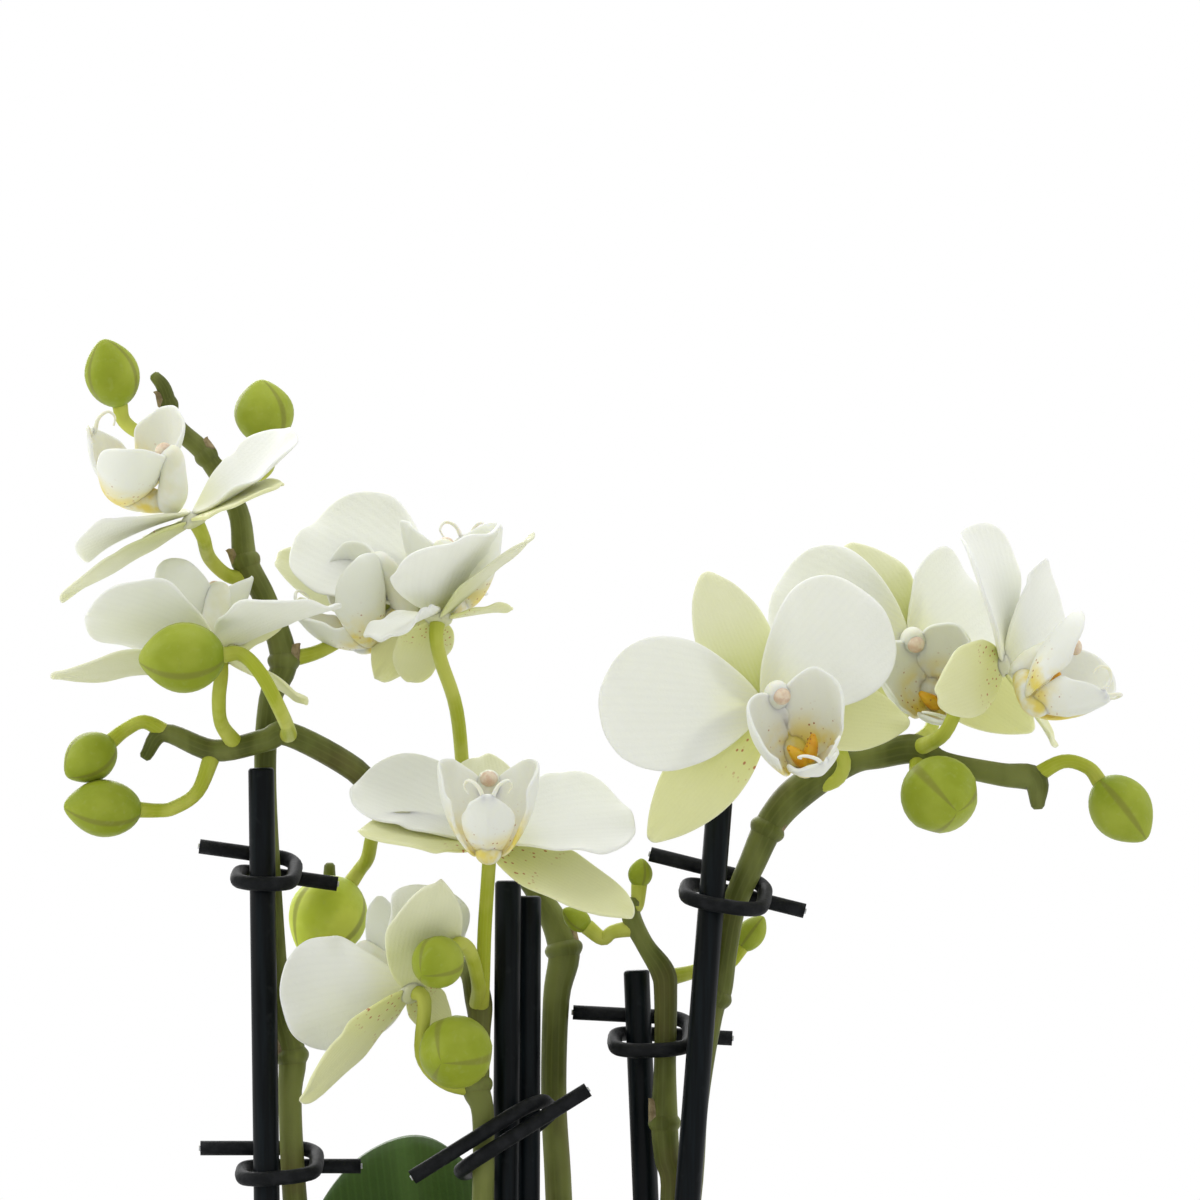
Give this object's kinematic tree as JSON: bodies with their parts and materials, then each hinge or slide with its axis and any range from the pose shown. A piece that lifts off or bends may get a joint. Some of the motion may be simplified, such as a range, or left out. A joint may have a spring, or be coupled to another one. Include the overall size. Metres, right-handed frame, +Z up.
{
  "type": "potted orchid",
  "caption": "White moth orchid with arching flower stems held to plain stakes by wire clips, with open flowers, green buds and broad leaves, in a round glazed pot of bark.",
  "frame": {"origin": "centre of the pot's flat base, on the surface it stands on", "axes": "+Z up, -Y towards the side the flowers are seen from, +X to the right seen from there"},
  "size_m": [0.2895, 0.2247, 0.3734],
  "materials": {
    "petal": "soft satin living petal, near-white with a green-cream tint",
    "lip": "waxy living tissue, white with yellow and fine red-brown spots",
    "bud": "satin living tissue, yellow-green",
    "stem": "satin living stem, green to brown-green",
    "leaf": "waxy living leaf, deep green",
    "root": "matt living root, grey-green",
    "stake": "smooth satin coating, blue-black",
    "clip": "matt rubber over wire, charcoal",
    "bark": "rough loose bark chips, brown",
    "pot": "glossy glaze, off-white"
  },
  "bodies": {
    "root": {"flower_top_left_petals": "petal", "flower_top_left_lip": "lip", "flower_low_left_petals": "petal", "flower_low_left_lip": "lip", "flower_upper_middle_petals": "petal", "flower_upper_middle_lip": "lip", "flower_behind_middle_petals": "petal", "flower_behind_middle_lip": "lip", "flower_centre_petals": "petal", "flower_centre_lip": "lip", "flower_lowest_petals": "petal", "flower_lowest_lip": "lip", "flower_right_front_petals": "petal", "flower_right_front_lip": "lip", "flower_right_back_petals": "petal", "flower_right_back_lip": "lip", "flower_far_right_petals": "petal", "flower_far_right_lip": "lip", "bud_top_left": "bud", "bud_top_right": "bud", "bud_left_large": "bud", "bud_left_upper": "bud", "bud_left_lower": "bud", "bud_middle_bright": "bud", "bud_middle_small": "bud", "bud_middle_low": "bud", "bud_right_round": "bud", "bud_far_right": "bud", "bud_behind_right": "bud", "bud_small_left": "bud", "bud_small_top": "bud", "spike_left": "stem", "spike_branching_left": "stem", "spike_middle": "stem", "spike_forked": "stem", "spike_right": "stem", "stake_left": "stake", "stake_middle_front": "stake", "stake_middle_back": "stake", "stake_short": "stake", "stake_right": "stake", "clip_left_upper": "clip", "clip_left_lower": "clip", "clip_middle": "clip", "clip_short": "clip", "clip_right_upper": "clip", "leaf_upright": "leaf", "leaf_left": "leaf", "leaf_right": "leaf", "leaf_back_right": "leaf", "leaf_front_left": "leaf", "crown_with_roots": "root", "bark_medium": "bark", "pot": "pot"}
  },
  "joints": []
}
